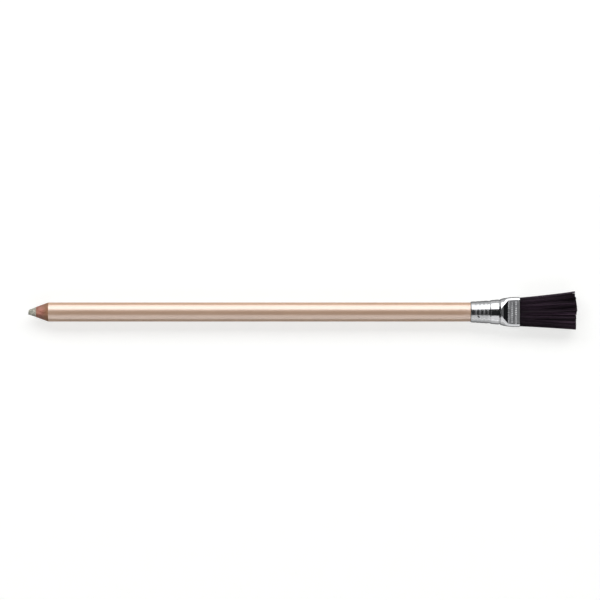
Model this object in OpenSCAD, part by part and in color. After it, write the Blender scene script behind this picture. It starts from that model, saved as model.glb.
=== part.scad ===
// Eraser pencil with a brush, in millimetres.
// The pencil's axis is X, with the eraser tip towards -X and the brush towards +X.
// The brush is flat in the XY plane. The origin is on the axis, half way along the bare grip.

/* [Pencil] */
// Diameter over the lacquer
barrel_d = 7.5; // [6.5:0.1:9]
// Length of the wood case, with the end that the ferrule hides
pencil_l = 180; // [120:1:220]
// Length of the sharpened cone
cone_l = 8; // [6:0.5:16]
// Diameter of the blunt tip
tip_d = 1.7; // [1:0.1:2.4]
// Rounding of the tip's edge
tip_round = 0.3; // [0.1:0.05:0.45]

/* [Core and case] */
// Diameter of the eraser core
core_d = 4; // [2.6:0.1:5]
// Thickness of the lacquer, which is turned off the end that the ferrule grips
lacquer_t = 0.18; // [0.05:0.01:0.4]
// Thickness of the glue film round the core and between the slats
glue_t = 0.08; // [0.04:0.01:0.2]

/* [Ferrule] */
// Length of the ferrule
ferrule_l = 19.1; // [18.5:0.1:26]
// Thickness of the sheet metal
ferrule_wall = 0.25; // [0.15:0.01:0.4]
// How much wider than the lacquer the ferrule's rear edge is inside, on the radius
ferrule_fit = 0.05; // [0.03:0.01:0.2]
// Distance from the ferrule's rear edge back to the end of the lacquer
lacquer_back = 0.12; // [0.08:0.01:0.5]
// Length of pencil inside the ferrule
grip_l = 6.7; // [5:0.1:8]
// Length of the round part
round_l = 11.3; // [10.5:0.05:12.5]
// How far the round part widens from end to end, on the radius
taper_rise = 0.85; // [0.4:0.05:1.2]
// Width of the flattened mouth
mouth_w = 11.75; // [11:0.05:14]
// Thickness of the flattened mouth
mouth_t = 6; // [5:0.1:7]
// Width of the rounded edge at each side of the mouth
edge_w = 1.2; // [1:0.05:2]
// Length over which the width flares out to the mouth
flare_l = 5.25; // [4:0.05:6]
// Distance from the round part to the sloping facet that leads to the flat
shoulder_l = 1.1; // [0.6:0.05:1.6]
// Length of the sloping facet
slope_l = 2; // [1.4:0.05:3]
// Width of the sloping facet at its narrow end
facet_w = 3.2; // [2:0.1:4]

/* [Rolled rings] */
// Number of rings rolled round the sleeve
ring_count = 4; // [1:1:4]
// Distance from the rear edge to the first ring
ring_first = 1.95; // [1.5:0.05:2.3]
// Distance between rings
ring_pitch = 1.6; // [1.2:0.01:1.65]
// Width of a ring
ring_w = 0.8; // [0.4:0.05:1.1]
// Depth of a ring
ring_depth = 0.12; // [0.05:0.01:0.16]
// Distance from the rear edge to the deep groove
groove_at = 7.6; // [7.4:0.05:9]
// Width of the two grooves
groove_w = 0.75; // [0.4:0.05:1]
// Depth of the two grooves
groove_depth = 0.27; // [0.1:0.01:0.35]

/* [Brush] */
// Length of the longest bristles, past the mouth
bristle_l = 22.7; // [15:0.1:30]
// Width of the tuft at its tips
tuft_w = 15; // [13:0.1:20]
// Thickness of the tuft at its tips
tuft_t = 6.1; // [5:0.1:8]
// How far the tips lean towards +Y
tuft_lean = 0.55; // [0:0.05:2]
// How much shorter the bristles are at the sides
end_crown = 1; // [0:0.1:3]
// How unevenly the bristles are cut
end_scatter = 0.7; // [0:0.1:2]
// Strands across the width
strand_cols = 36; // [30:1:38]
// Strands through the thickness
strand_rows = 9; // [8:1:10]
// Width of a strand at its root
strand_w = 0.2; // [0.1:0.01:0.22]
// Width of a strand at its tip
strand_tip_w = 0.17; // [0.08:0.01:0.2]
// How strongly the strands gather into clumps
clumping = 0.3; // [0:0.05:0.35]
// Number of clumps across the width
clump_count = 5; // [2:1:8]

/* [Setting of the bristles] */
// Depth of the resin's front face inside the mouth
set_back = 0.8; // [0.3:0.1:1.5]
// Thickness of the resin slice that the bristles are fused to
slice_t = 1; // [0.5:0.1:1.5]
// Gap between that slice and the ferrule
slice_fit = 0.05; // [0.03:0.01:0.2]
// Length of the resin plug behind that slice
plug_l = 4.5; // [3:0.1:5]
// Distance from the ferrule's rear edge to its adhesive
glue_back = 0.5; // [0.2:0.1:1]

/* [Hidden] */
$fn = 96;

// Pencil radii, and where its parts lie along X
barrel_r = barrel_d / 2;
wood_r = barrel_r - lacquer_t;
core_r = core_d / 2;
tip_r = tip_d / 2;
bare_l = pencil_l - cone_l - grip_l;
tip_x = -bare_l / 2 - cone_l;
ferrule_x = bare_l / 2;

// Slope of the cone, and the centre of the arc that rounds its tip
cone_slope = atan((barrel_r - tip_r) / cone_l);
tip_arc_r = tip_r - tip_round * (1 - sin(cone_slope)) / cos(cone_slope);
tip_steps = 6;

// How far a cutting shape reaches past what it cuts
past = 1;

// Facets from the rounded edge to the crease, and from there to the middle of the flat
edge_steps = 7;
flat_steps = 2;

// Ferrule radii, and distances from its rear edge
rear_r = barrel_r + ferrule_fit + ferrule_wall;
band_r = rear_r + taper_rise;
facet_at = round_l + shoulder_l;
flat_at = facet_at + slope_l;
slice_end = ferrule_l - set_back;
slice_start = slice_end - slice_t;
plug_start = slice_start - plug_l;

// Stations along the ferrule, shared by all that touches its skin
dip_steps = [-1 / 2, -1 / 4, 0, 1 / 4, 1 / 2];
stations = sorted(concat(
    [0, glue_back, grip_l, facet_at, flat_at, plug_start, slice_start, ferrule_l],
    [for (k = [0 : ring_count - 1], d = dip_steps) ring_first + k * ring_pitch + d * ring_w],
    [for (at = [groove_at, round_l], d = dip_steps) at + d * groove_w],
    [for (k = [1 : 3]) round_l + flare_l * k / 3]
));

// Half height of the sloping facet where it starts,
// and of the oval that the rounded edges of the mouth belong to
facet_h = band_r * sqrt(1 - pow(facet_w / 2 / half_width(facet_at), 2));
mouth_oval = mouth_t / 2 / sqrt(1 - pow(1 - 2 * edge_w / mouth_w, 2));

// Inside of the mouth, where the strands are rooted
root_a = half_width(slice_end) - ferrule_wall - slice_fit;
root_b = mouth_oval - ferrule_wall - slice_fit;
root_h = mouth_t / 2 - ferrule_wall - slice_fit;

// Strands: where all of them bend, how far the clumps move from row to row,
// how far each strand strays at its tip and how short it is cut
strand_count = strand_cols * strand_rows;
bend_l = bristle_l * 0.45;
clump_shift = 57;
stray = 0.03;
stray_y = rands(-stray, stray, strand_count, 11);
stray_z = rands(-stray, stray, strand_count, 12);
cut_short = rands(0, end_scatter, strand_count, 13);

// A list in rising order, with each value once
function sorted(list) = len(list) == 0 ? [] :
    let (pivot = list[floor(len(list) / 2)])
    concat(
        sorted([for (v = list) if (v < pivot) v]),
        [pivot],
        sorted([for (v = list) if (v > pivot) v])
    );

// A value between a and b, held at the ends
function blend(a, b, t) = a + (b - a) * max(0, min(1, t));

// Depth at s of a ring with a round bottom
function ring(s, at) =
    abs(s - at) < ring_w / 2 ? ring_depth * (1 + cos(360 * (s - at) / ring_w)) / 2 : 0;

// Depth at s of a groove with a sharp bottom
function groove(s, at) = groove_depth * max(0, 1 - 2 * abs(s - at) / groove_w);

// Depth at s of all the rings and grooves
function dips(s) =
    max(
        groove(s, groove_at),
        groove(s, round_l),
        max([for (k = [0 : ring_count - 1]) ring(s, ring_first + k * ring_pitch)])
    );

// Half width of the ferrule at s: a slow taper, then a flare that eases out to the mouth
function half_width(s) =
    let (t = max(0, min(1, (s - round_l) / flare_l)))
    blend(rear_r, band_r, s / round_l) + (mouth_w / 2 - band_r) * t * (2 - t) - dips(s);

// Half height at s of the oval that the round part or the rounded edges belong to
function oval_height(s) =
    blend(rear_r, band_r, s / round_l)
    + blend(0, mouth_oval - band_r, (s - facet_at) / slope_l)
    - dips(s);

// Half height of the ferrule at s, across the shoulder, the sloping facet and the flat
function flat_height(s) =
    blend(band_r, facet_h, (s - round_l) / shoulder_l)
    + blend(0, mouth_t / 2 - facet_h, (s - facet_at) / slope_l)
    - dips(s);

// A quarter of the ferrule's section at s, from its edge to its middle, moved in by inset
function quarter(s, inset) =
    let (
        a = half_width(s) - inset,
        b = oval_height(s) - inset,
        h = s > round_l ? flat_height(s) - inset : b,
        corner = s > round_l ? asin(h / b) : acos(facet_w / 2 / half_width(s)),
        angles = concat(
            [for (k = [0 : edge_steps]) corner * k / edge_steps],
            [for (k = [1 : flat_steps]) corner + (90 - corner) * k / flat_steps]
        )
    )
    [for (t = angles) [a * cos(t), min(b * sin(t), h)]];

// The whole section at s, clockwise as seen from the brush
function section(s, inset) =
    let (q = quarter(s, inset), n = len(q) - 1)
    [for (side = [[1, -1], [-1, -1], [-1, 1], [1, 1]], k = [0 : n - 1])
        let (p = q[side[0] * side[1] < 0 ? k : n - k])
        [ferrule_x + s, side[0] * p[0], side[1] * p[1]]];

// Two triangles between points c and d of two rings that start at points a and b
function strip(a, b, c, d) = [[a + c, a + d, b + d], [a + c, b + d, b + c]];

// Triangles that join each of these rings of n points to the next
function strips(n, rings) =
    [for (k = rings, c = [0 : n - 1], f = strip(k[0] * n, k[1] * n, c, (c + 1) % n)) f];

// Solid that fills the ferrule's skin, moved in by inset, between two stations
module filling(from, to, inset) {
    rings = [for (s = stations) if (s >= from && s <= to) section(s, inset)];
    n = len(rings[0]);
    last = len(rings) - 1;
    sides = strips(n, [for (k = [0 : last - 1]) [k, k + 1]]);
    rear_cap = [for (c = [n - 1 : -1 : 0]) c];
    front_cap = [for (c = [0 : n - 1]) last * n + c];
    polyhedron([for (r = rings, p = r) p], concat(sides, [rear_cap, front_cap]));
}

// Round rod on the axis, longer than the pencil at both ends
module rod(radius) {
    translate([tip_x - past, 0, 0])
        rotate([0, 90, 0])
            cylinder(r = radius, h = pencil_l + 2 * past);
}

// Slab across the axis, longer and wider than the pencil
module slab(bottom, top) {
    translate([tip_x - past, -barrel_r - past, bottom])
        cube([pencil_l + 2 * past, barrel_d + 2 * past, top - bottom]);
}

// The whole sharpened pencil as one solid
module sharpened() {
    rounded = [for (k = [0 : tip_steps])
        let (t = -90 + (90 - cone_slope) * k / tip_steps)
        [tip_arc_r + tip_round * cos(t), tip_round * (1 + sin(t))]];
    straight = [[barrel_r, cone_l], [barrel_r, pencil_l], [0, pencil_l]];
    translate([tip_x, 0, 0])
        rotate([0, 90, 0])
            rotate_extrude()
                polygon(concat([[0, 0]], rounded, straight));
}

// Half of the wood case above the split, grooved for the core and its glue
module slat() {
    intersection() {
        sharpened();
        difference() {
            rod(wood_r);
            rod(core_r + glue_t);
        }
        slab(glue_t / 2, barrel_r + past);
    }
}

module eraser_core() {
    color([0.69, 0.69, 0.65])
        intersection() {
            sharpened();
            rod(core_r);
        }
}

module upper_slat() {
    color([0.68, 0.49, 0.42])
        slat();
}

module lower_slat() {
    color([0.65, 0.46, 0.39])
        mirror([0, 0, 1])
            slat();
}

module slat_glue() {
    color([0.83, 0.74, 0.58])
        intersection() {
            sharpened();
            difference() {
                union() {
                    rod(core_r + glue_t);
                    intersection() {
                        rod(wood_r);
                        slab(-glue_t / 2, glue_t / 2);
                    }
                }
                rod(core_r);
            }
        }
}

module lacquer_coat() {
    color([0.84, 0.77, 0.69])
        difference() {
            sharpened();
            rod(wood_r);
            translate([ferrule_x - lacquer_back, -barrel_r - past, -barrel_r - past])
                cube([grip_l + 2 * past, barrel_d + 2 * past, barrel_d + 2 * past]);
        }
}

// Pressed sleeve: one skin that runs forward outside and back inside
module ferrule() {
    outside = [for (s = stations) section(s, 0)];
    inside = [for (k = [len(stations) - 1 : -1 : 0]) section(stations[k], ferrule_wall)];
    rings = concat(outside, inside);
    count = len(rings);
    color([0.8, 0.81, 0.83])
        polyhedron(
            [for (r = rings, p = r) p],
            strips(len(rings[0]), [for (k = [0 : count - 1]) [k, (k + 1) % count]])
        );
}

module ferrule_adhesive() {
    color([0.86, 0.82, 0.68])
        difference() {
            filling(glue_back, grip_l, ferrule_wall);
            rod(wood_r);
        }
}

module resin_plug() {
    color([0.55, 0.42, 0.22])
        filling(plug_start, slice_start, ferrule_wall);
}

// Half width of the strands' bed at height z
function bed_width(z) = root_a * sqrt(1 - pow(z / root_b, 2));

// Corner of the bed's grid of cells, at distance s from the ferrule's rear edge
function bed_corner(s, col, row) =
    let (z = root_h * (2 * row / strand_rows - 1))
    [ferrule_x + s, bed_width(z) * (2 * col / strand_cols - 1), z];

// Middle of a strand at its root, its bend and its tip
function strand_path(col, row) =
    let (
        k = col * strand_rows + row,
        u = 2 * (col + 0.5) / strand_cols - 1,
        v = 2 * (row + 0.5) / strand_rows - 1,
        z = root_h * v,
        across = 2 * col / (strand_cols - 1) - 1,
        wave = 180 * clump_count * across + clump_shift * row,
        spread = across + clumping * sin(wave) / (clump_count * PI),
        tip_side = (tuft_w - strand_tip_w) / 2 * bed_width(z) / root_a,
        root = [slice_end, bed_width(z) * u, z],
        end = [
            ferrule_l + bristle_l,
            tuft_lean + tip_side * spread + stray_y[k],
            tuft_t / 2 * v + stray_z[k]
        ],
        bend = [ferrule_l + bend_l, (root[1] + end[1]) / 2, (root[2] + end[2]) / 2],
        cut = (end_crown * u * u + cut_short[k]) / (bristle_l - bend_l)
    )
    [root, bend, end + (bend - end) * cut];

// Four corners of a strand round a point of its path, clockwise as seen from the tips
function strand_ring(p, width) =
    [for (c = [[-1, -1], [-1, 1], [1, 1], [1, -1]])
        [ferrule_x + p[0], p[1] + c[0] * width / 2, p[2] + c[1] * width / 2]];

// Bristles and the slice of resin that they grow from, as one closed skin
module bristle_tuft() {
    cells = [for (col = [0 : strand_cols - 1], row = [0 : strand_rows - 1]) [col, row]];
    widths = [strand_w, strand_w, strand_tip_w];
    rim = concat(
        [for (row = [0 : strand_rows - 1]) [0, row]],
        [for (col = [0 : strand_cols - 1]) [col, strand_rows]],
        [for (row = [strand_rows : -1 : 1]) [strand_cols, row]],
        [for (col = [strand_cols : -1 : 1]) [col, 0]]
    );
    front = [for (col = [0 : strand_cols], row = [0 : strand_rows]) bed_corner(slice_end, col, row)];
    rear = [for (c = rim) bed_corner(slice_start, c[0], c[1])];
    middle = [[ferrule_x + slice_start, 0, 0]];
    strands = [for (c = cells) let (path = strand_path(c[0], c[1]))
        for (k = [0 : 2], p = strand_ring(path[k], widths[k])) p];

    rear_at = len(front);
    middle_at = rear_at + len(rear);
    strands_at = middle_at + 1;
    corners = 4;

    // Where a corner of the bed and a corner of a strand lie in the list of points
    function bed_at(col, row) = col * (strand_rows + 1) + row;
    function strand_at(k, ring) = strands_at + (k * 3 + ring) * corners;
    function cell_at(col, row) =
        [bed_at(col, row), bed_at(col, row + 1), bed_at(col + 1, row + 1), bed_at(col + 1, row)];

    bed = [for (k = [0 : strand_count - 1], c = [0 : corners - 1])
        let (
            d = (c + 1) % corners,
            cell = cell_at(cells[k][0], cells[k][1]),
            root = strand_at(k, 0)
        )
        for (f = [[cell[c], cell[d], root + d], [cell[c], root + d, root + c]]) f];
    sides = [for (k = [0 : strand_count - 1], ring = [0, 1], c = [0 : corners - 1])
        for (f = strip(strand_at(k, ring), strand_at(k, ring + 1), c, (c + 1) % corners)) f];
    tips = [for (k = [0 : strand_count - 1]) let (t = strand_at(k, 2))
        for (f = [[t, t + 1, t + 2], [t, t + 2, t + 3]]) f];
    back = [for (m = [0 : len(rim) - 1])
        let (
            next = (m + 1) % len(rim),
            a = bed_at(rim[m][0], rim[m][1]),
            b = bed_at(rim[next][0], rim[next][1]),
            ra = rear_at + m,
            rb = rear_at + next
        )
        for (f = [[ra, rb, b], [ra, b, a], [middle_at, rb, ra]]) f];

    color([0.12, 0.09, 0.12])
        polyhedron(concat(front, rear, middle, strands), concat(bed, sides, tips, back));
}

eraser_core();
upper_slat();
lower_slat();
slat_glue();
lacquer_coat();
ferrule();
ferrule_adhesive();
resin_plug();
bristle_tuft();
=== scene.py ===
# %% [markdown]
# # A typewriter eraser in the form of a pencil
# The real object is a round cedar pencil whose core is a rod of abrasive rubber. One end is
# sharpened to a blunt cone. The other end carries a pressed metal ferrule with a flat brush that
# sweeps the crumbs away. The solid model holds every piece at its true place, so the first step is
# to load it and to keep its box, which the finished looks must not outgrow.

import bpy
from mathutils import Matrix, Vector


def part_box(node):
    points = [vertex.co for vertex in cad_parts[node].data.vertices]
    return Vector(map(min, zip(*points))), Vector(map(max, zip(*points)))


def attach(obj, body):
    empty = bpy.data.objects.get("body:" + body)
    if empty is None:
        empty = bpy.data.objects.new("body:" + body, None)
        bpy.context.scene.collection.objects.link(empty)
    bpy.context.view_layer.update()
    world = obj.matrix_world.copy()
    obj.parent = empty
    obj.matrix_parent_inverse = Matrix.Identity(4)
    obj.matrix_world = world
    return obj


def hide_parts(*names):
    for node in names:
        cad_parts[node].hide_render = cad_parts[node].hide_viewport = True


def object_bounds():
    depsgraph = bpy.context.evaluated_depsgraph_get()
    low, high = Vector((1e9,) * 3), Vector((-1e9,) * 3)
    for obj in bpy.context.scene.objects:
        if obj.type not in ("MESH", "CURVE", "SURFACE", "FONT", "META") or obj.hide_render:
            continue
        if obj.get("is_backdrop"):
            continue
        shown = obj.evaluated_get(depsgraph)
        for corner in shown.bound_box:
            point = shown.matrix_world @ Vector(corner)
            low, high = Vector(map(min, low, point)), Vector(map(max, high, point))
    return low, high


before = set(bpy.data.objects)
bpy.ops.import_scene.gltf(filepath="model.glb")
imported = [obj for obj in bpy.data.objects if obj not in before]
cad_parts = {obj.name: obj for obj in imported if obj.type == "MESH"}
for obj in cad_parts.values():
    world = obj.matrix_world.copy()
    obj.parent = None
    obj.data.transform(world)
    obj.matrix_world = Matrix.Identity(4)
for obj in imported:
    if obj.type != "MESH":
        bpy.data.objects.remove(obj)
cad_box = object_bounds()
print("solid model, in metres:", [round(v, 4) for v in (*cad_box[0], *cad_box[1])])

# %% [markdown]
# ## Sizes
# All lengths are in metres, as in Blender. The pencil's axis is X, the eraser tip points to -X, and the
# brush is flat in the XY plane. The solid model gives the places along X, and most other sizes repeat
# the drawing's, so that a new piece lands where its solid is. The coat of lacquer is thinner here than
# in the drawing, as on the real pencil, and the wood under it is that much thicker.

# %% Sizes of the pencil
import math
import random

import bmesh
import bpy
from mathutils import Matrix, Vector, noise

MM = 0.001
barrel_r = 3.75 * MM
coat_t = 0.04 * MM
wood_r = barrel_r - coat_t
core_r = 2.0 * MM
glue_t = 0.08 * MM
tip_r = 0.85 * MM
cone_l = 8 * MM
cone_rise = (barrel_r - tip_r) / cone_l
tip_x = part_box("eraser_core")[0].x
case_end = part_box("eraser_core")[1].x
ferrule_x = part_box("ferrule")[0].x
lacquer_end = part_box("lacquer_coat")[1].x
print("tip at", round(tip_x, 5), "ferrule at", round(ferrule_x, 5), "wood ends at", round(case_end, 5))

# %% [markdown]
# ## Helpers for meshes
# Most pieces of a pencil are turned, so one helper spins a row of points about an axis. On the
# pencil that axis is X, and a profile gives each point's place along X and its distance from it. A
# full spin is told to merge its last step with its first. Points that lie on the axis would be left
# as a heap of doubles, so they are merged too, and only then are the faces turned to look outwards.
# Another helper makes an object of a finished mesh and hides the solid that it stands in for.

# %% Spin a profile, and make an object of a mesh
same_place = 1e-8


def spun(places, axis, steps, closed=False):
    """A mesh from a row of points, spun once about an axis through the origin."""
    bm = bmesh.new()
    points = [bm.verts.new(place) for place in places]
    pairs = list(zip(points, points[1:]))
    if closed:
        pairs.append((points[-1], points[0]))
    edges = [bm.edges.new(pair) for pair in pairs]
    bmesh.ops.spin(bm, geom=points + edges, axis=axis, cent=(0, 0, 0),
                   angle=math.tau, steps=steps, use_merge=True)
    bmesh.ops.remove_doubles(bm, verts=bm.verts, dist=same_place)
    bmesh.ops.recalc_face_normals(bm, faces=bm.faces)
    return bm


def turned(profile, steps, closed=False):
    """A turned piece of the pencil, from points (x, radius)."""
    return spun([(x, 0, r) for x, r in profile], (1, 0, 0), steps, closed)


def piece(bm, name, material, node, sharp=35):
    """An object at the origin under the root body's empty, which hides the node of the solid model that
    it stands for.
    """
    mesh = bpy.data.meshes.new(name)
    bm.to_mesh(mesh)
    bm.free()
    mesh.shade_smooth()
    mesh.set_sharp_from_angle(angle=math.radians(sharp))
    mesh.materials.append(material)
    made = bpy.data.objects.new(name, mesh)
    bpy.context.scene.collection.objects.link(made)
    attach(made, "root")
    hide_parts(node)
    triangles = sum(len(p.vertices) - 2 for p in mesh.polygons)
    print(f"{name}: {triangles} triangles, size in mm", [round(d / MM, 2) for d in made.dimensions])


def spaced(first, last, count):
    """Evenly spaced values, both ends included."""
    return [first + (last - first) * k / (count - 1) for k in range(count)]


print("five places from 0 to 1:", spaced(0, 1, 5))

# %% [markdown]
# ## Helpers for finishes
# Every finish is one Principled shader fed by textures that read Object coordinates. Those are the
# piece's own metres, so a pattern keeps its real scale and stays where it is when the pencil
# moves. One helper fills an input: a socket is linked to it, and any other value is set on it. The
# others add a node, or a short chain of nodes, so that a finish reads like a recipe. Most values of
# a noise lie between 0.3 and 0.7, so that range is often spread over a finish's two ends.

# %% Make a finish and fill its inputs
def new_finish(name):
    """A material, its node tree and its Principled shader."""
    material = bpy.data.materials.new(name)
    material.use_nodes = True
    return material, material.node_tree, material.node_tree.nodes["Principled BSDF"]


def fill(tree, socket, value):
    """Links a socket to an input, or sets the input to a plain value."""
    if isinstance(value, bpy.types.NodeSocket):
        tree.links.new(value, socket)
    else:
        socket.default_value = value


def dress(tree, node, **inputs):
    """Fills the named inputs of a node. Their names have _ for a space."""
    for key, value in inputs.items():
        fill(tree, node.inputs[key.replace("_", " ")], value)


def add(tree, kind, settings=None, **inputs):
    """A new shader node with its settings and inputs."""
    made = tree.nodes.new("ShaderNode" + kind)
    for key, value in (settings or {}).items():
        setattr(made, key, value)
    dress(tree, made, **inputs)
    return made


# %% Textures, ramps and sums
even = (1, 1, 1)
white = (1, 1, 1)
noise_low, noise_high = 0.3, 0.7


def lengthwise(share):
    """A stretch along the pencil: a share of 0.1 makes a pattern ten times as long as it is wide."""
    return share, 1, 1


def sums(tree, operation, *values):
    """The result of a Math node."""
    made = add(tree, "Math", {"operation": operation})
    for socket, value in zip(made.inputs, values):
        fill(tree, socket, value)
    return made.outputs[0]


def grain(tree, stretch, scale, detail=3.0, roughness=0.5):
    """Noise in Object coordinates, stretched by three factors. Scale counts cells in a metre."""
    place = add(tree, "TexCoord").outputs["Object"]
    mapped = add(tree, "Mapping", Vector=place, Scale=stretch).outputs[0]
    made = add(tree, "TexNoise", Vector=mapped, Scale=scale, Detail=detail, Roughness=roughness)
    return made.outputs[0]


def ramp(tree, value, *stops):
    """Colours at places along a value from 0 to 1."""
    made = add(tree, "ValToRGB", Fac=value)
    elements = made.color_ramp.elements
    while len(elements) < len(stops):
        elements.new(0.5)
    for element, (at, colour) in zip(elements, stops):
        element.position = at
        element.color = (*colour, 1)
    return made.outputs["Color"]


def span(tree, value, low, high, to_low=0.0, to_high=1.0):
    """A value carried from one range to another and held at the ends."""
    made = add(tree, "MapRange", Value=value, From_Min=low, From_Max=high,
               To_Min=to_low, To_Max=to_high)
    return made.outputs[0]


def mixed(tree, factor, first, second, blend="MIX"):
    """Two colours mixed by a factor. A Mix node keeps its colours after its numbers and vectors."""
    made = add(tree, "Mix", {"data_type": "RGBA", "blend_type": blend}, Factor=factor)
    first_colour, second_colour = made.inputs[6], made.inputs[7]
    for socket, value in ((first_colour, first), (second_colour, second)):
        fill(tree, socket, value if isinstance(value, bpy.types.NodeSocket) else (*value, 1))
    return made.outputs[2]


def bumped(tree, shader, height, distance, strength):
    """Tilts the shader's normal by a height from 0 to 1, where 1 is a distance in metres."""
    made = add(tree, "Bump", Height=height, Distance=distance, Strength=strength)
    dress(tree, shader, Normal=made.outputs[0])


print("a pattern drawn out along the pencil is stretched by", lengthwise(0.1))

# %% [markdown]
# ## The eraser's finish
# Vulcanised rubber with ground pumice in it is pale, dull and gritty. Two noises do that: a wide
# one for rubbed and dirty patches, and a fine one for the grit, which also raises the bump. A
# single grey would look like painted metal, because the eye reads the grain as the material.

# %% Gritty grey-green rubber
grimy_rubber = (0.365, 0.37, 0.307)
plain_rubber = (0.535, 0.525, 0.448)
rubbed_rubber = (0.79, 0.74, 0.64)
dark_speck = (0.4, 0.41, 0.39)
pale_speck = (1.0, 1.0, 0.96)
speck_share = 0.85

eraser_rubber, tree, shader = new_finish("eraser_rubber")
patches = grain(tree, even, scale=1250)
grit = grain(tree, even, scale=5200, detail=4, roughness=0.7)
rubbed = ramp(tree, patches, (0.34, grimy_rubber), (0.5, plain_rubber), (0.64, rubbed_rubber))
specks = ramp(tree, grit, (0.34, dark_speck), (0.5, white), (0.7, pale_speck))
gritty = mixed(tree, speck_share, rubbed, specks, "MULTIPLY")
dress(tree, shader, Base_Color=gritty, Roughness=0.88, Specular_IOR_Level=0.3)
bumped(tree, shader, grit, distance=0.06 * MM, strength=0.8)
print("eraser_rubber has", len(tree.nodes), "nodes")

# %% [markdown]
# ## The eraser core
# The core runs the whole length of the pencil, and only its cone shows. A profile spun about the
# axis gives the rod, the cone and the blunt, rounded tip in one go. Use wears the tip on a slant,
# so every vertex in front of a slanted plane is moved back to it, as paper would rub it away. No
# sharpener cuts quite true, so the tip also sits a little off the axis. Last, the cone's vertices
# are pushed in by noise, never out, which leaves the pits of a crumbling eraser.

# %% Spin the core
def on_cone(r):
    """Where along X the sharpened cone has this radius."""
    return tip_x + (r - tip_r) / cone_rise


tip_round = 0.3 * MM
blunt_rows, round_rows, rubber_rows, core_steps = 6, 7, 22, 120
tip_slope = math.atan(cone_rise)
arc_r = tip_r - tip_round * (1 - math.sin(tip_slope)) / math.cos(tip_slope)
rounding = [(tip_x + tip_round * (1 + math.sin(turn)), arc_r + tip_round * math.cos(turn))
            for turn in spaced(-math.pi / 2, -tip_slope, round_rows)]
blunt = [(tip_x, r) for r in spaced(0, arc_r, blunt_rows)[:-1]]
rubber_cone = [(on_cone(r), r) for r in spaced(rounding[-1][1], core_r, rubber_rows)[1:]]
core = turned(blunt + rounding + rubber_cone + [(case_end, core_r), (case_end, 0)], core_steps)
print("core has", len(core.verts), "vertices before it is worn")

# %% Wear the tip
wear, slant_y, slant_z = 0.14 * MM, 0.12, 0.1
off_centre = 0.12 * MM
rubber_end = on_cone(core_r)
untouched = 0.05 * MM
pits = [(0.03 * MM, 900), (0.02 * MM, 4200)]

for v in core.verts:
    v.co.x = max(v.co.x, tip_x + wear + slant_y * v.co.y + slant_z * v.co.z)
    v.co.y -= off_centre * max(0, 1 - (v.co.x - tip_x) / (rubber_end - tip_x))
bmesh.ops.recalc_face_normals(core, faces=core.faces)
core.normal_update()
for v in core.verts:
    if v.co.x < rubber_end - untouched:
        v.co -= v.normal * sum(deep * (1 + noise.noise(v.co * cells)) for deep, cells in pits)
bmesh.ops.recalc_face_normals(core, faces=core.faces)
piece(core, "eraser_tip_and_core", eraser_rubber, "eraser_core", sharp=60)

# %% [markdown]
# ## Cedar
# Freshly cut cedar is pink-brown, with fibres and pores that run along the pencil. The fibres are noise
# that is stretched along X. A soft band across Y is painted brighter and redder than the sides of the
# cone, which is a painted highlight along its middle as seen from above. Towards the lacquer the cut is
# thinner and looks yellower.

# %% Sharpened cedar
edge_dark, edge_pale = (0.29, 0.131, 0.094), (0.44, 0.214, 0.159)
lit_middle_dark, lit_middle_plain, lit_middle_pale = (0.33, 0.105, 0.067), (0.5, 0.198, 0.143), (0.65, 0.29, 0.224)
thin_cut = (0.36, 0.188, 0.092)
fibre_dark, fibre_pale = (0.6, 0.55, 0.52), (1, 0.97, 0.94)
pore_dark = (0.4, 0.33, 0.3)
lit_middle_y, lit_middle_half, lit_middle_end = 0.1 * MM, 0.7 * MM, 2.0 * MM
thin_from, thin_to = tip_x + 5.6 * MM, tip_x + 7.4 * MM
thin_share, fibre_share, pore_share = 0.75, 0.9, 0.7

cedar, tree, shader = new_finish("cedar")
fibre = grain(tree, lengthwise(0.09), scale=5200, detail=5, roughness=0.65)
tint = grain(tree, lengthwise(0.35), scale=620, detail=2)
pores = grain(tree, lengthwise(0.12), scale=9000, detail=2)
parts = add(tree, "SeparateXYZ", Vector=add(tree, "TexCoord").outputs["Object"])
# painted highlight: the wood is brighter and redder in a soft band across Y, along the cone's middle as
# seen from above
off_lit_middle = sums(tree, "ABSOLUTE", sums(tree, "SUBTRACT", parts.outputs["Y"], lit_middle_y))
in_lit_middle = span(tree, off_lit_middle, lit_middle_half, lit_middle_end, 1, 0)
edge_wood = ramp(tree, tint, (0.35, edge_dark), (0.62, edge_pale))
lit_middle_wood = ramp(tree, tint, (0.35, lit_middle_dark), (0.5, lit_middle_plain), (0.62, lit_middle_pale))
wood = mixed(tree, in_lit_middle, edge_wood, lit_middle_wood)
near_lacquer = span(tree, parts.outputs["X"], thin_from, thin_to, 0, thin_share)
wood = mixed(tree, near_lacquer, wood, thin_cut)
strands = ramp(tree, fibre, (0.3, fibre_dark), (0.52, white), (0.75, fibre_pale))
wood = mixed(tree, fibre_share, wood, strands, "MULTIPLY")
specked = ramp(tree, pores, (0.28, pore_dark), (0.38, white))
wood = mixed(tree, pore_share, wood, specked, "MULTIPLY")
dress(tree, shader, Base_Color=wood, Roughness=0.72, Specular_IOR_Level=0.35)
bumped(tree, shader, fibre, distance=0.05 * MM, strength=0.7)
print("cedar has", len(tree.nodes), "nodes")

# %% [markdown]
# ## The two slats of the case
# A pencil is a sandwich: two grooved slats are glued round the core and then turned round. So the
# case is spun whole, as a tube with a cone at one end, and a plane along the axis splits it. The
# cut leaves two open loops on each half, which are filled. The blade of a sharpener leaves small
# ripples and lifted fibres, and these are cut into the cone before the split. The glue film stops
# short of the outside, so the rims of the two halves are brought together there.

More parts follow.
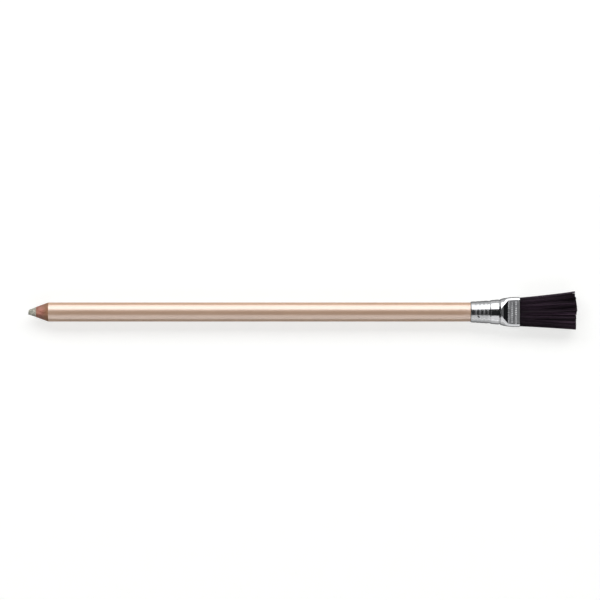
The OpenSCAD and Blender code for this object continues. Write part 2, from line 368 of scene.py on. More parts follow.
# %% Spin the case, cut the shavings off, split it
hole_r = core_r + glue_t
cone_rows, case_steps = 40, 180
whole_rim, rim_fade = 0.02, 8
blade_marks, blade_twist, ripple_deep = 34, 5200, 0.018 * MM
torn_cells, torn_deep = Vector((500, 3000, 3000)), 0.04 * MM
film_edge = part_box("slat_glue")[1].y
hair_gap = 0.001 * MM


def shaved(v):
    """Depth of the blade's ripples and of torn fibres at a vertex of the case."""
    depth = (math.hypot(v.co.y, v.co.z) - hole_r) / (wood_r - hole_r)
    if not whole_rim < depth < 1 - whole_rim or v.co.x >= on_cone(wood_r):
        return 0
    around = math.atan2(v.co.z, v.co.y)
    ripple = 0.5 + 0.5 * math.sin(blade_marks * around + blade_twist * v.co.x)
    torn = 0.5 + 0.5 * noise.noise(v.co * torn_cells)
    fade = min(1, rim_fade * depth, rim_fade * (1 - depth))
    return fade * (ripple_deep * ripple + torn_deep * torn)


def case_half(side):
    """The half of the wood case above (1) or below (-1) the glue line."""
    cone = [(on_cone(r), r) for r in spaced(hole_r, wood_r, cone_rows)]
    half = turned(cone + [(case_end, wood_r), (case_end, hole_r)], case_steps, closed=True)
    half.normal_update()
    for v in half.verts:
        v.co -= v.normal * shaved(v)
    whole = half.verts[:] + half.edges[:] + half.faces[:]
    cut = bmesh.ops.bisect_plane(half, geom=whole, dist=same_place, clear_inner=True,
                                 plane_co=(0, 0, side * glue_t / 2), plane_no=(0, 0, side))
    rim = [e for e in cut["geom_cut"] if isinstance(e, bmesh.types.BMEdge)]
    bmesh.ops.holes_fill(half, edges=rim, sides=0)
    for v in half.verts:
        if abs(v.co.y) > film_edge and abs(v.co.z) < glue_t:
            v.co.z = side * hair_gap
    bmesh.ops.recalc_face_normals(half, faces=half.faces)
    return half


piece(case_half(1), "upper_cedar_slat", cedar, "upper_slat")
piece(case_half(-1), "lower_cedar_slat", cedar, "lower_slat")

# %% [markdown]
# ## Pearl lacquer
# The barrel is dipped in a champagne lacquer with mica flakes in it. Mica reflects more than plain
# varnish and almost without colour, so the shader has a high index of refraction and hardly any
# metal. The flakes lie flat in the coat and shine most where it faces the eye, so the gloss falls
# off towards the edges. Fine noise stands for the flakes, and a long, weak one for the way the dip
# runs.

# %% Champagne pearl
thin_run, thick_run = (0.63, 0.388, 0.25), (0.68, 0.43, 0.285)
dull_flake, flake_share, flake_rough = (0.9, 0.89, 0.88), 0.8, (0.33, 0.39)
face_on, edge_on = 0.27, 0.42
plain_gloss, face_gloss, edge_gloss = 0.3, 0.41, 0.05

pearl, tree, shader = new_finish("pearl_lacquer")
flakes = grain(tree, even, scale=14000, detail=2)
runs = grain(tree, lengthwise(0.08), scale=420, detail=2)
colour = ramp(tree, runs, (noise_low, thin_run), (noise_high, thick_run))
sparkle = ramp(tree, flakes, (noise_low, dull_flake), (noise_high, white))
colour = mixed(tree, flake_share, colour, sparkle, "MULTIPLY")
rough = span(tree, flakes, noise_low, noise_high, *flake_rough)
dress(tree, shader, Base_Color=colour, Roughness=rough, IOR=3.3, Metallic=0.07,
      Coat_Weight=0.12, Coat_Roughness=0.2)
# an export drops a linked gloss, so the input also holds a plain value under the link
dress(tree, shader, Specular_IOR_Level=plain_gloss)
facing = add(tree, "LayerWeight").outputs["Facing"]
gloss = span(tree, facing, face_on, edge_on, face_gloss, edge_gloss)
dress(tree, shader, Specular_IOR_Level=gloss)
bumped(tree, shader, runs, distance=0.04 * MM, strength=0.4)
print("pearl_lacquer has", len(tree.nodes), "nodes")

# %% [markdown]
# ## The lacquer coat
# The coat is a thin tube, so its profile is a closed loop: out along the barrel, down the end that
# was turned off for the ferrule, back along the wood and up the cut of the sharpener. The blade
# chips a brittle coat back a little, so its edge wanders. The two outer edges get a small bevel,
# less than the coat is thick, as a coat of lacquer has no knife edge.

# %% Spin the coat
chipped_back = 0.15 * MM
coat_start = tip_x + cone_l + chipped_back
coat_rows, coat_steps = 40, 160
undercut, edge_bevel = 0.08 * MM, 0.015 * MM
hair = 0.01 * MM
end_zone = 0.5 * MM
ring_reach = 0.02 * MM
edge_waves = [(0.035 * MM, 3, 1), (0.025 * MM, 11, 0)]

coat_profile = [(x, barrel_r) for x in spaced(coat_start, lacquer_end, coat_rows)]
coat_profile += [(lacquer_end, wood_r), (coat_start - undercut, wood_r)]
coat = turned(coat_profile, coat_steps, closed=True)
for v in coat.verts:
    if v.co.x < coat_start + hair and math.hypot(v.co.y, v.co.z) > wood_r + hair:
        around = math.atan2(v.co.z, v.co.y)
        v.co.x += sum(far * math.sin(waves * around + start) for far, waves, start in edge_waves)
ends = [e for e in coat.edges
        if all(math.hypot(v.co.y, v.co.z) > barrel_r - hair for v in e.verts)
        and abs(e.verts[0].co.x - e.verts[1].co.x) < ring_reach
        and not coat_start + end_zone < e.verts[0].co.x < lacquer_end - end_zone]
bmesh.ops.bevel(coat, geom=ends, offset=edge_bevel, segments=2, profile=0.5,
                affect="EDGES", material=-1)
bmesh.ops.recalc_face_normals(coat, faces=coat.faces)
piece(coat, "lacquered_barrel", pearl, "lacquer_coat", sharp=40)

# %% [markdown]
# ## Places on the ferrule
# The ferrule is thin sheet, drawn to a round sleeve and pressed flat at the mouth. From its rear
# edge come rolled rings, a plain band, a V-shaped slope that the press leaves, and the flat with
# its dots. A punch mark near the rear edge fixes it to the barrel. Finish and shape both need these
# places, so they are written down once. Places along X are counted from the rear edge.

# %% Where the ferrule changes along its length
ferrule_l = 19.1 * MM
rings_end = 6.3 * MM
dull_end = 7.9 * MM
round_l = 11.6 * MM
facet_at = 12.85 * MM
flat_at = 14.58 * MM
flat_half = 4.65 * MM
punch_at = Vector((3.0 * MM, -1.75 * MM))
punch_turn = math.radians(41)
punch_half = (0.3 * MM, 0.72 * MM)
print("the press slopes from", round(facet_at / MM, 2), "to", round(flat_at / MM, 2), "mm")

# %% [markdown]
# ## Bright plate
# A metal has no colour of its own beyond what it reflects, so the work is in its roughness. The sleeve
# is smooth, and round the rolled rings it is a little rougher and its tone a little darker. The slope
# is polished by the die and reads as black. The flat is struck by the die and scatters light, so it is
# rough. Fine scratches run round the sleeve, and faint cloudy patches keep the shine from looking
# computed. The dent of the punch mark is painted near black, which is painted shade. A dark tint dims
# the metal where it turns away.

# %% Roughness of the plate
side_fade, slope_fade, flat_fade = 0.1 * MM, 0.05 * MM, 0.15 * MM
sleeve_rough = (0.13, 0.19)
polished, dulled, matted = -0.09, 0.08, 0.24

plate, tree, shader = new_finish("bright_plate")
place = add(tree, "TexCoord").outputs["Object"]
parts = add(tree, "SeparateXYZ", Vector=place)
along = parts.outputs["X"]
off_axis = sums(tree, "ABSOLUTE", parts.outputs["Y"])
clouds = grain(tree, even, scale=900)
near_rings = span(tree, along, ferrule_x + rings_end, ferrule_x + dull_end, 1, 0)
past_slope = span(tree, along, ferrule_x + flat_at - flat_fade, ferrule_x + flat_at)
inside_rims = span(tree, off_axis, flat_half - side_fade, flat_half, 1, 0)
on_flat = sums(tree, "MULTIPLY", past_slope, inside_rims)
slope_middle = ferrule_x + (facet_at + flat_at) / 2
slope_half = (flat_at - facet_at) / 2
from_slope = sums(tree, "ABSOLUTE", sums(tree, "SUBTRACT", along, slope_middle))
on_slope = span(tree, from_slope, slope_half - slope_fade, slope_half + slope_fade, 1, 0)
rough = span(tree, clouds, noise_low, noise_high, *sleeve_rough)
for where, change in ((on_slope, polished), (near_rings, dulled), (on_flat, matted)):
    rough = sums(tree, "MULTIPLY_ADD", where, change, rough)
print("bright_plate has", len(tree.nodes), "nodes so far")

# %% Tone, painted shade of the punch mark and scratches of the plate
cloudy, clear = (0.432, 0.437, 0.45), (0.484, 0.486, 0.498)
darker_round_rings = (0.82, 0.82, 0.815)
punch_shade, punch_shade_core = (0.03, 0.03, 0.028), 0.63
dark_edge = (0.05, 0.05, 0.05, 1)
round_the_sleeve, scratch_range = (1, 0.05, 0.05), (0.5, 0.08)

tone = ramp(tree, clouds, (noise_low, cloudy), (noise_high, clear))
# the metal's tone is made darker round the rolled rings
tone = mixed(tree, near_rings, tone, darker_round_rings, "MULTIPLY")
# painted shade: the dent of the punch mark, on the upper side, is painted near black
mark = add(tree, "Mapping", {"vector_type": "TEXTURE"}, Vector=place, Rotation=(0, 0, punch_turn),
           Location=(ferrule_x + punch_at.x, punch_at.y, 0), Scale=(*punch_half, 1)).outputs[0]
from_mark = add(tree, "VectorMath", {"operation": "LENGTH"}, Vector=mark).outputs["Value"]
on_top = sums(tree, "GREATER_THAN", parts.outputs["Z"], 0.0)
in_mark = sums(tree, "MULTIPLY", span(tree, from_mark, punch_shade_core, 1, 1, 0), on_top)
tone = mixed(tree, in_mark, tone, punch_shade)
dress(tree, shader, Base_Color=tone, Roughness=rough, Metallic=1, Specular_Tint=dark_edge)
scratches = grain(tree, round_the_sleeve, scale=16000, detail=2)
scratch_depth = span(tree, on_slope, 0, 1, *scratch_range)
bumped(tree, shader, scratches, distance=0.004 * MM, strength=scratch_depth)
print("bright_plate has", len(tree.nodes), "nodes")

# %% [markdown]
# ## The ferrule's shape
# A press shop draws the sleeve as a round tube, rolls rings into it, and then squeezes one end
# flat. The model goes the same way. The next two cells only measure: at a distance s from the rear
# edge they tell how wide the tube is, how tall its oval is, and how low the press has pushed it.
# The rear part is a cone with rings in it, then comes a small step up to a wider band, and one
# sharp groove marks where the sleeve begins to flare.

# %% The round sleeve
barrel_gap, wall = 0.05 * MM, 0.25 * MM
rear_r = barrel_r + barrel_gap + wall
sleeve_line = [(0, rear_r), (rings_end, 4.46 * MM), (7.55 * MM, 4.37 * MM), (7.95 * MM, 4.65 * MM),
               (10.4 * MM, 4.87 * MM)]
band_r = sleeve_line[-1][1]
first_ring, ring_pitch = 1.95, 1.6
rings = [(first_ring + ring_pitch * k, 0.8, 0.12) for k in range(3)] + [(6.75, 0.5, 0.07)]
groove = (11.4, 0.9, 0.3)
rear_edge, rear_drop = 0.3 * MM, 0.22 * MM


def eased(a, b, t):
    """From a to b as t goes from 0 to 1, held at the ends."""
    return a + (b - a) * max(0.0, min(1.0, t))


def rolled(s):
    """Depth of the rings, which are soft waves, of the sharp groove and of the turned-in rear edge.
    Rings and groove are given in millimetres, as (place, width, depth)."""
    depth = 0.0
    for at, broad, deep in rings:
        off = (s / MM - at) / broad
        if abs(off) < 0.5:
            depth = max(depth, deep * (1 + math.cos(math.tau * off)) / 2)
    at, broad, deep = groove
    depth = max(depth, deep * (1 - 2 * abs(s / MM - at) / broad))
    return max(depth * MM, rear_drop * (1 - s / rear_edge))


def sleeve_r(s):
    """Radius of the round sleeve: a cone with the rings, a small step, then the wider band."""
    for (start, start_r), (end, end_r) in zip(sleeve_line, sleeve_line[1:]):
        if s < end:
            return eased(start_r, end_r, (s - start) / (end - start))
    return band_r


print("sleeve radius in mm:", [round(sleeve_r(at) / MM, 2) for at, r in sleeve_line])

# %% Widths and heights along the ferrule
mouth_a, mouth_h, edge_w = 5.875 * MM, 3.1 * MM, 1.22 * MM
flat_part = 1 - edge_w / mouth_a
round_power, mouth_power = 2, 5.0
facet_half = 2.65 * MM
flare_at, flare_l, flare_bow = 10.9 * MM, 5.6 * MM, 0.6


def half_width(s):
    """Half width of the ferrule, which flares in a bow towards its mouth."""
    t = eased(0, 1, (s - flare_at) / flare_l)
    return sleeve_r(s) + (mouth_a - band_r) * t * (1 + flare_bow - flare_bow * t) - rolled(s)


facet_h = band_r * math.sqrt(1 - (facet_half / half_width(facet_at)) ** 2)


def sunk(s):
    """Share of the way down the slope."""
    return eased(0, 1, (s - facet_at) / (flat_at - facet_at))


def press_height(s):
    """Height of the press above the axis: a shoulder, the slope, then the flat."""
    shoulder = (s - round_l) / (facet_at - round_l)
    return eased(band_r, facet_h, shoulder) + (mouth_h - facet_h) * sunk(s) - rolled(s)


def squareness(s):
    """Power of the oval: 2 is an ellipse, and more has squarer corners."""
    return round_power + (mouth_power - round_power) * sunk(s)


def oval_rise(share, power):
    """Height of an oval of half height 1, at a share of its half width."""
    return max(0, 1 - share ** power) ** (1 / power)


def oval_height(s):
    """Half height of the oval at the sides. On the slope it makes the creases run straight."""
    if s <= facet_at:
        return sleeve_r(s) - rolled(s)
    width = half_width(s)
    touched = facet_half + (flat_part * width - facet_half) * sunk(s)
    return press_height(s) / oval_rise(touched / width, squareness(s))


mouth_size = [round(2 * side / MM, 2) for side in (half_width(ferrule_l), press_height(ferrule_l))]
print("width and height of the mouth in mm:", mouth_size)

# %% [markdown]
# ## Press the ferrule
# The tube is a plain line of points spun about the axis, closest together where the rings and the
# dots are. Then each vertex goes to its place on the oval, and whatever stands above the press is
# pushed down to it. The crease between the two has to fall on a row of vertices or it would look
# like a saw, so the vertices of each ring share out their places on both sides of it. Three rows
# of small dots, struck into the flat by a worn die, grip the bristles.

# %% Places of the spun rings of vertices
half_wave, beside = 5, 0.05
stations = {0.0, ferrule_l}
for at, broad, deep in rings + [groove]:
    stations.update((at + broad * k / (2 * half_wave)) * MM for k in range(-half_wave, half_wave + 1))
    stations.update((at + side * (broad / 2 + beside)) * MM for side in (-1, 1))
rear_part, punch_reach = 1.5 * MM, 0.55 * MM
step_start, step_end, band_end = 7.4 * MM, 8.1 * MM, 10.8 * MM
close_rows = [
    spaced(0, rear_part, 11),
    spaced(punch_at.x - punch_reach, punch_at.x + punch_reach, 23),
    spaced(step_start, step_end, 8),
    spaced(step_end, band_end, 15),
    spaced(round_l, facet_at, 7)[1:],
    spaced(facet_at, flat_at, 17),
    spaced(flat_at, ferrule_l, 48),
    [at for at, r in sleeve_line],
]
for row in close_rows:
    stations.update(row)
# places that agree to a ten-thousandth of a millimetre are one
stations = sorted({round(s, 7) for s in stations})
print("rings of vertices along the ferrule:", len(stations))

# %% Dots and punch mark
dot_rows = [(14.8, 0.0, 0.07), (16.15, 0.41, 0.095), (17.65, 0.0, 0.115)]
dot_pitch, dot_r = 0.82, 0.34
worn_die, wear_along, wear_across = 0.7, 1.7, 1.3
upper_wear, lower_wear = 0.5, 7.5
punch_deep = 0.22


def struck_depth(s, y, up):
    """Depth of the struck dots, and of the punch mark on the upper side. The dot rows are given in
    millimetres, as (place, sideways shift, depth)."""
    depth = 0.0
    for at, shift, deep in dot_rows:
        dot_y = round((y / MM + shift) / dot_pitch) * dot_pitch - shift
        near = math.hypot(s / MM - at, y / MM - dot_y) / dot_r
        if near < 1 and abs(dot_y) < flat_half / MM - dot_r:
            die_side = upper_wear if up else lower_wear
            chance = noise.noise(Vector((at * wear_along, dot_y * wear_across, die_side)))
            depth = max(depth, deep * (1 + worn_die * chance) * (1 - near * near))
    if up:
        off = Matrix.Rotation(-punch_turn, 2) @ (Vector((s, y)) - punch_at)
        near = math.hypot(off.x / punch_half[0], off.y / punch_half[1])
        if near < 1:
            depth = max(depth, punch_deep * (1 - near * near) ** 2)
    return depth * MM


print("dots are struck in", len(dot_rows), "rows,", dot_pitch, "mm apart")

# %% Spin, press and strike the sleeve
around_steps = 256
flat_share = 45 / 64
band_crease, least_crease = 2.7 * MM, 0.4 * MM
crease_run = band_end - step_end
clear_r, clear_l = wood_r + 0.03 * MM, 1.0 * MM


def crease(s):
    """Half width of the part that the press touches, or a share of the round part."""
    if s <= round_l:
        return eased(band_crease, least_crease, (s - step_end) / crease_run)
    touched = oval_rise(press_height(s) / oval_height(s), squareness(s))
    return max(least_crease, half_width(s) * touched)


def pressed(co):
    """Where a point of the round tube ends up."""
    s = co.x - ferrule_x
    share = math.atan2(abs(co.z), abs(co.y)) / (math.pi / 2)
    width, tall, fold = half_width(s), oval_height(s), crease(s)
    if share <= 1 - flat_share:
        y = width * math.cos(math.acos(min(1, fold / width)) * share / (1 - flat_share))
    else:
        y = fold * (1 - share) / flat_share
    z = min(tall * oval_rise(y / width, squareness(s)), press_height(s) if s > round_l else tall)
    y = math.copysign(y, co.y)
    z -= struck_depth(s, y, co.z > 0)
    return Vector((co.x, y, math.copysign(z, co.z)))


sleeve = turned([(ferrule_x + s, rear_r) for s in stations], around_steps)
for v in sleeve.verts:
    v.co = pressed(v.co)
bmesh.ops.recalc_face_normals(sleeve, faces=sleeve.faces)
outward = sum(f.normal.dot(f.calc_center_median() * Vector((0, 1, 1))) for f in sleeve.faces)
if outward < 0:
    bmesh.ops.reverse_faces(sleeve, faces=sleeve.faces)
bmesh.ops.solidify(sleeve, geom=sleeve.faces[:], thickness=wall)
for v in sleeve.verts:
    r = math.hypot(v.co.y, v.co.z)
    if r < clear_r and v.co.x < ferrule_x + clear_l:
        v.co.yz *= clear_r / r
heights = [v.co.z / MM for v in sleeve.verts]
print("lowest and highest z in mm, with its wall:", round(min(heights), 3), round(max(heights), 3))
piece(sleeve, "pressed_ferrule", plate, "ferrule", sharp=30)

# %% [markdown]
# ## Black bristle
# Black nylon is nearly all shine: its own colour is almost nothing. Each strand gets a tone of its own,
# kept in the mesh as an attribute, so that the tuft shows streaks rather than one black block. The same
# attribute also carries painted shade, darkest at the roots.
# A little purple in the base keeps it from looking like a hole in the picture.

# %% Nylon with a tone for each strand
deep_black = (0.0048, 0.0022, 0.0044)
soft_black = (0.033, 0.018, 0.032)
grey_black = (0.081, 0.049, 0.078)
dusted, dust_share = (1.35, 1.3, 1.3), 0.6
strand_rough = (0.55, 0.4)

bristle, tree, shader = new_finish("black_bristle")
tone = add(tree, "Attribute", {"attribute_name": "strand_tone_and_root_shade"}).outputs["Fac"]
dust = grain(tree, lengthwise(0.2), scale=2500, detail=2)
shade = ramp(tree, tone, (0.0, deep_black), (0.5, soft_black), (1.0, grey_black))
dusty = ramp(tree, dust, (0.45, white), (0.75, dusted))
shade = mixed(tree, dust_share, shade, dusty, "MULTIPLY")
rough = span(tree, tone, 0, 1, *strand_rough)
dress(tree, shader, Base_Color=shade, Roughness=rough, Specular_IOR_Level=0.1)
print("black_bristle has", len(tree.nodes), "nodes")

# %% [markdown]
# ## One bristle
# More than a thousand strands share one pattern, so the pattern has few faces: a square, extruded
# five times. Particle hair could do this too, but it isn't a mesh, and the part is kept as meshes.

# %% A strand of unit length
strand_sides, strand_parts = 4, 5
strand = bmesh.new()
bmesh.ops.create_circle(strand, segments=strand_sides, radius=1, cap_ends=True)
upright = Matrix.Rotation(math.pi / 2, 3, "Y")
bmesh.ops.rotate(strand, verts=strand.verts, cent=(0, 0, 0), matrix=upright)
face = strand.faces[:]
for k in range(strand_parts):
    grown = bmesh.ops.extrude_face_region(strand, geom=face)["geom"]
    if k > 0:
        bmesh.ops.delete(strand, geom=face, context="FACES_ONLY")
    face = [f for f in grown if isinstance(f, bmesh.types.BMFace)]
    tops = [v for v in grown if isinstance(v, bmesh.types.BMVert)]
    bmesh.ops.translate(strand, verts=tops, vec=(1 / strand_parts, 0, 0))
bmesh.ops.recalc_face_normals(strand, faces=strand.faces)
pattern = bpy.data.meshes.new("one_strand")
strand.to_mesh(pattern)
print("one strand has", len(strand.faces), "faces")
strand.free()

# %% [markdown]
# ## The tuft
# The strands stand in close rows inside the mouth. Towards their tips they fan out, lean a little
# to one side and gather into locks, and a trim leaves their ends almost level, longest near the
# middle. The last strands of the upper corner split off like a fork. Near the roots the strands
# shade each other, so their tone is darkest there. Every random number comes from one seeded
# source, so each run gives the same brush.

# %% How the tuft fans out and where it ends
mouth_x = ferrule_x + ferrule_l
root_deep = 0.8 * MM
root_x = mouth_x - root_deep
tuft_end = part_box("bristle_tuft")[1].x
mouth_clear = 0.3 * MM
bed_a, bed_oval, bed_h = mouth_a - mouth_clear, 4.75 * MM, mouth_h - mouth_clear
tip_half_w, tip_half_t, lean = 7.5 * MM, 2.98 * MM, 0.55 * MM
dice = random.Random(7)
locks = [(dice.uniform(0, math.tau), k) for k in (5, 9, 14)]
lock_pull, lock_slant = 0.22, 1.7
trimmed, crown_deep, crown_y, crown_half = 0.52, 0.45, 1.1 * MM, 2.0 * MM
corner_deep, corner_y, corner_w = 0.42, 5.5 * MM, 0.6 * MM
outer_y, outer_kick = 7.35 * MM, 0.16 * MM
inner_y, inner_kick = 6.8 * MM, -0.09 * MM


def gathered(u, v):
    """How far a strand moves sideways into its lock, as a share of the half width."""
    pull = sum(lock_pull / k * math.sin(math.pi * k * u + phase + lock_slant * v) for phase, k in locks)
    return (1 - u * u) * pull


def trim(y):
    """Where the tips end: level, with a crown near the middle and a worn upper corner."""
    crown = math.exp(-((y - crown_y) / crown_half) ** 2)
    worn = eased(0, corner_deep, (y - corner_y) / corner_w)
    return tuft_end - (trimmed - crown_deep * crown + worn) * MM


def forked(y):
    """Sideways kick of the last strands at the upper corner, where the tuft splits."""
    if y > outer_y:
        return outer_kick
    return inner_kick if y > inner_y else 0


tip_ends = [round(trim(y * MM) / MM, 2) for y in (-6, 1, 7)]
print("tips of the lower side, middle and upper side end at", tip_ends, "mm along X")

# %% Plant the strands
strand_r = 0.088 * MM
row_gap, col_gap = 0.165 * MM, 0.19 * MM
stray_y, stray_z, stray_end, bow = 0.08, 0.06, 0.13, 0.06
tone_spread, shaded_root_tone, body_tone, tip_gain, root_part = 0.13, 0.08, 0.36, 0.05, 0.25
root_streak, tip_streak = 0.18, 0.85
bed_share, thin_sides = 0.35, 0.12
slack, taper, fan_power, fork_power = 1.5, 0.15, 1.12, 12
streak_u, streak_v, streak_t = 9, 2.5, 1.3

tuft = bmesh.new()
tone_layer = tuft.verts.layers.float.new("strand_tone_and_root_shade")


def plant(y0, z0, u, v):
    """Adds one strand to the tuft. It stands at y0, z0, and u, v are its shares of the half sizes."""
    y1 = lean + (u + gathered(u, v)) * tip_half_w + dice.gauss(0, stray_y) * (1 - u * u) * MM
    z1 = v * tip_half_t * (1 - thin_sides * u * u) + dice.gauss(0, stray_z) * MM
    bow_y = dice.gauss(0, bow) * (1 - u * u) * MM
    bow_z = dice.gauss(0, bow) * MM
    fork = forked(y1)
    end_x = trim(y1) - abs(dice.gauss(0, stray_end)) * MM
    spin = Matrix.Rotation(dice.uniform(0, math.pi / 2), 2)
    own_tone = dice.gauss(0, tone_spread)
    first = len(tuft.verts)
    tuft.from_mesh(pattern)
    tuft.verts.ensure_lookup_table()
    for vert in tuft.verts[first:]:
        t = 1 - max(0.0, 1 - vert.co.x) ** slack
        side = spin @ Vector((vert.co.y, vert.co.z)) * strand_r * (1 - taper * t)
        fan = max(0.0, t) ** fan_power
        bend = math.sin(math.pi * t)
        streak = noise.noise(Vector((streak_u * u, streak_v * v, streak_t * t)))
        vert.co = (root_x + (end_x - root_x) * t,
                   y0 + (y1 - y0) * fan + fork * fan ** fork_power + bow_y * bend + side.x,
                   z0 + (z1 - z0) * fan + bow_z * bend + side.y)
        # painted shade: the tone is darkest at the roots, where the strands shade each other
        shaded = eased(shaded_root_tone, body_tone, t / root_part) + tip_gain * fan
        shaded += (root_streak + tip_streak * fan) * streak + own_tone
        vert[tone_layer] = min(1, max(0, shaded))


planted = 0
rows = int(2 * (bed_h - strand_r) / row_gap)
for row in range(rows + 1):
    z0 = -bed_h + strand_r + row * row_gap
    reach = bed_a * math.sqrt(1 - (z0 / bed_oval) ** 2) - strand_r
    cols = int(2 * reach / col_gap)
    # every other row stands half a gap aside, so that the strands fill the gaps of the row below
    aside = 0.5 * (row % 2)
    for col in range(cols + 1):
        y0 = -reach + (col + aside) * 2 * reach / (cols + 0.5)
        u = bed_share * y0 / bed_a + (1 - bed_share) * y0 / (reach + strand_r)
        plant(y0, z0, u, z0 / bed_h)
        planted += 1
print("strands planted:", planted)

# %% [markdown]
# ## The bed of the tuft
# The roots stand in a slice of set resin, a little behind the rim of the mouth. It is a disc that
# is scaled to the oval, pressed flat like the ferrule around it, and extruded.

# %% A slice of resin under the strands
bed_steps = 72
bed_deep, bed_proud = 1.0 * MM, 0.05 * MM
bed_start = root_x - bed_deep
bed_top = root_x + bed_proud
ring = bmesh.ops.create_circle(tuft, segments=bed_steps, radius=1, cap_ends=True)["verts"]
bmesh.ops.rotate(tuft, verts=ring, cent=(0, 0, 0), matrix=upright)
bmesh.ops.scale(tuft, verts=ring, vec=(1, bed_a, bed_oval))
bmesh.ops.translate(tuft, verts=ring, vec=(bed_start, 0, 0))
for v in ring:
    v.co.z = max(-bed_h, min(bed_h, v.co.z))
slice_face = list({f for v in ring for f in v.link_faces})
grown = bmesh.ops.extrude_face_region(tuft, geom=slice_face)["geom"]
front = [v for v in grown if isinstance(v, bmesh.types.BMVert)]
bmesh.ops.translate(tuft, verts=front, vec=(bed_top - bed_start, 0, 0))
bed_faces = list({f for v in ring + front for f in v.link_faces})
bmesh.ops.recalc_face_normals(tuft, faces=bed_faces)
for v in ring + front:
    v[tone_layer] = 0.0
piece(tuft, "brush_bristles", bristle, "bristle_tuft", sharp=50)

# %% [markdown]
# ## What the ferrule and the case hide
# Three solids keep their own shape: the glue film between the slats, the adhesive between barrel
# and ferrule, and the resin plug behind the brush. The glue shows only as a hair line on the cone.
# They get cloudy, slightly uneven finishes, as poured and set glue has.

# %% Glue, adhesive and resin
duller = 0.15


def set_glue(name, dark, light, scale, rough):
    """A cloudy finish for something that was poured and has set."""
    material, tree, shader = new_finish(name)
    clouds = grain(tree, even, scale=scale)
    dress(tree, shader, Base_Color=ramp(tree, clouds, (noise_low, dark), (noise_high, light)),
          Roughness=span(tree, clouds, noise_low, noise_high, rough, rough + duller))
    bumped(tree, shader, clouds, distance=0.03 * MM, strength=0.5)
    return material


glues = {
    "slat_glue": set_glue("wood_glue", (0.3, 0.19, 0.12), (0.42, 0.29, 0.19), 1500, 0.5),
    "ferrule_adhesive": set_glue("ferrule_glue", (0.6, 0.53, 0.34), (0.76, 0.7, 0.5), 1200, 0.4),
    "resin_plug": set_glue("setting_resin", (0.2, 0.12, 0.04), (0.36, 0.22, 0.08), 900, 0.25),
}
for node, material in glues.items():
    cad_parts[node].data.materials.clear()
    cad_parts[node].data.materials.append(material)
print("finishes for", ", ".join(glues))

# %% [markdown]
# ## Floor
# The pencil lies on a white sweep: a floor that curves up into a low wall all round, made by
# spinning a profile about Z. Its paper is a pale grey that the lamps light, so that it keeps the
# shadow. A glow that only the camera and clear or shiny surfaces see lifts it to white. The wall
# stands farther from the lamps and gets less of their light, so it glows more.

# %% A white sweep
floor_z = cad_box[0].z
sweep_r, cove_r, wall_h = 3.0, 0.35, 0.39
sweep_steps = 96
sweep_line = [(0, 0), (0.5, 0), (1.5, 0)]
sweep_line += [(sweep_r - cove_r + cove_r * math.sin(a), cove_r * (1 - math.cos(a)))
               for a in spaced(0, math.pi / 2, 12)]
sweep_line.append((sweep_r, wall_h))
sweep = spun([(r, 0, floor_z + h) for r, h in sweep_line], (0, 0, 1), sweep_steps)
if sum(f.normal.z for f in sweep.faces) < 0:
    bmesh.ops.reverse_faces(sweep, faces=sweep.faces)
sweep_mesh = bpy.data.meshes.new("white_sweep")
sweep.to_mesh(sweep_mesh)
sweep.free()
sweep_mesh.shade_smooth()
floor = bpy.data.objects.new("white_sweep", sweep_mesh)
bpy.context.scene.collection.objects.link(floor)
floor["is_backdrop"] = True
print("floor at z", round(floor_z, 5), "and", 2 * sweep_r, "m across")

# %% Paper that glows for the camera and for reflections
grey_paper, pale_paper = (0.44, 0.445, 0.44), (0.46, 0.46, 0.455)
floor_glow, wall_glow, glow_rise = 0.69, 0.95, 0.15
paper_white = (1, 1, 0.99, 1)

paper, tree, shader = new_finish("white_paper")
fibres = grain(tree, even, scale=300)
rays = add(tree, "LightPath").outputs
seen = sums(tree, "MAXIMUM", rays["Is Camera Ray"], rays["Is Glossy Ray"])
seen = sums(tree, "MAXIMUM", seen, rays["Is Transmission Ray"])
up = add(tree, "SeparateXYZ", Vector=add(tree, "TexCoord").outputs["Object"]).outputs["Z"]
glow = span(tree, up, floor_z, floor_z + glow_rise, floor_glow, wall_glow)
dress(tree, shader, Base_Color=ramp(tree, fibres, (noise_low, grey_paper), (noise_high, pale_paper)),
      Roughness=1, Specular_IOR_Level=0, Emission_Color=paper_white,
      Emission_Strength=sums(tree, "MULTIPLY", seen, glow))
sweep_mesh.materials.append(paper)
print("white_paper has", len(tree.nodes), "nodes")

# %% [markdown]
# ## Lamps
# A round shiny thing shows its lamps as stripes, so the lamps are placed by the stripes. The
# picture has a wide bright stripe on the far side, a dimmer one on the near side and a dark one
# between them, which is the unlit ceiling over the camera. Two long soft boxes give the stripes,
# and two small ones at the ends catch the rolled rings of the ferrule. A box that reached down to
# the floor would wash out the pencil's sides, so below each long box hangs a card that only
# shiny surfaces see.

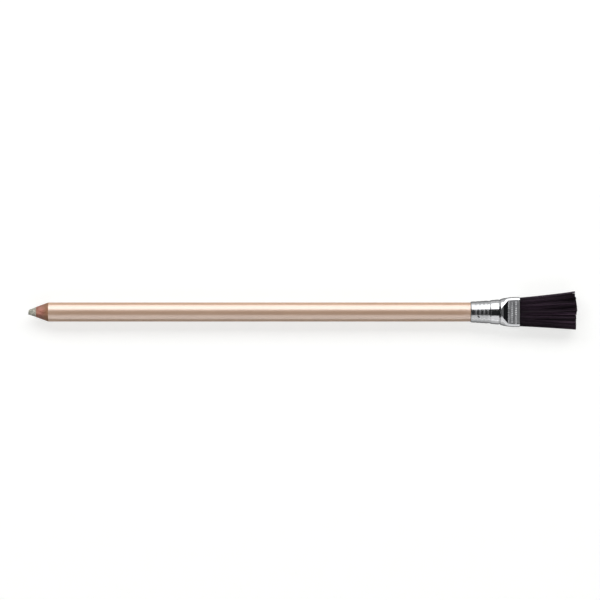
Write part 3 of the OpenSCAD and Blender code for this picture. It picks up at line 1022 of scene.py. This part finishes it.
# %% Soft boxes, two cards and a dim room
def soft_box(name, low, high, around, wide, radiance, lights=True, distance=1.2):
    """A rectangular lamp that faces the pencil, between two angles from straight above. With lights
    off it is a card: it shows in shiny surfaces and lights nothing dull."""
    tilt = math.radians((low + high) / 2)
    around = math.radians(around)
    tall = 2 * distance * math.tan(math.radians((high - low) / 2))
    lamp = bpy.data.lights.new(name, "AREA")
    lamp.shape = "RECTANGLE"
    lamp.size, lamp.size_y = wide, tall
    lamp.energy = radiance * math.pi * wide * tall
    made = bpy.data.objects.new(name, lamp)
    sideways = math.sin(tilt)
    towards = Vector((sideways * math.cos(around), sideways * math.sin(around), math.cos(tilt)))
    made.location = towards * distance
    made.rotation_euler = towards.to_track_quat("Z", "Y").to_euler()
    made.visible_camera = False
    made.visible_diffuse = lights
    bpy.context.scene.collection.objects.link(made)
    print(name, "at", [round(v, 2) for v in made.location], "gives", round(lamp.energy, 1), "W")


soft_box("far_box", low=29, high=58, around=90, wide=2.8, radiance=3.4)
soft_box("far_card", low=58, high=88, around=90, wide=2.8, radiance=2.7, lights=False)
soft_box("near_box", low=36.5, high=56, around=-90, wide=3.0, radiance=1.3)
soft_box("near_card", low=56, high=88, around=-90, wide=3.0, radiance=1.3, lights=False)
soft_box("brush_end_box", low=20, high=60, around=0, wide=0.8, radiance=0.29)
soft_box("tip_end_box", low=20, high=46, around=180, wide=0.8, radiance=0.5)

room = bpy.data.worlds.new("dim_room")
room.use_nodes = True
dress(room.node_tree, room.node_tree.nodes["Background"], Color=(0.9, 0.95, 1, 1), Strength=0.02)
bpy.context.scene.world = room

# %% [markdown]
# ## Camera
# The picture is taken from straight above with a long lens, so the camera looks down -Z. Its place
# sets the framing and nothing else does: no shift, no depth of field.

# %% Look straight down
picture_w, pixel = 600, 0.3916 * MM
aim_back, aim_up = 1.0 * MM, 4.7 * MM
lens = bpy.data.cameras.new("camera")
lens.lens = 220
lens.clip_start, lens.clip_end = 0.01, 20
camera = bpy.data.objects.new("camera", lens)
height = picture_w * pixel / 2 / math.tan(lens.angle / 2)
camera.location = ((cad_box[0].x + cad_box[1].x) / 2 - aim_back, aim_up, height)
bpy.context.scene.collection.objects.link(camera)
bpy.context.scene.camera = camera
bpy.context.scene.view_settings.view_transform = "Standard"
print("camera is", round(height, 3), "m above the pencil's axis")

# %% Write both boxes and finish
visual_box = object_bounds()
past_low = [round((solid - look) / MM, 2) for solid, look in zip(cad_box[0], visual_box[0])]
past_high = [round((look - solid) / MM, 2) for solid, look in zip(cad_box[1], visual_box[1])]
print("looks past the solid model in mm, low and high sides:", past_low, past_high)
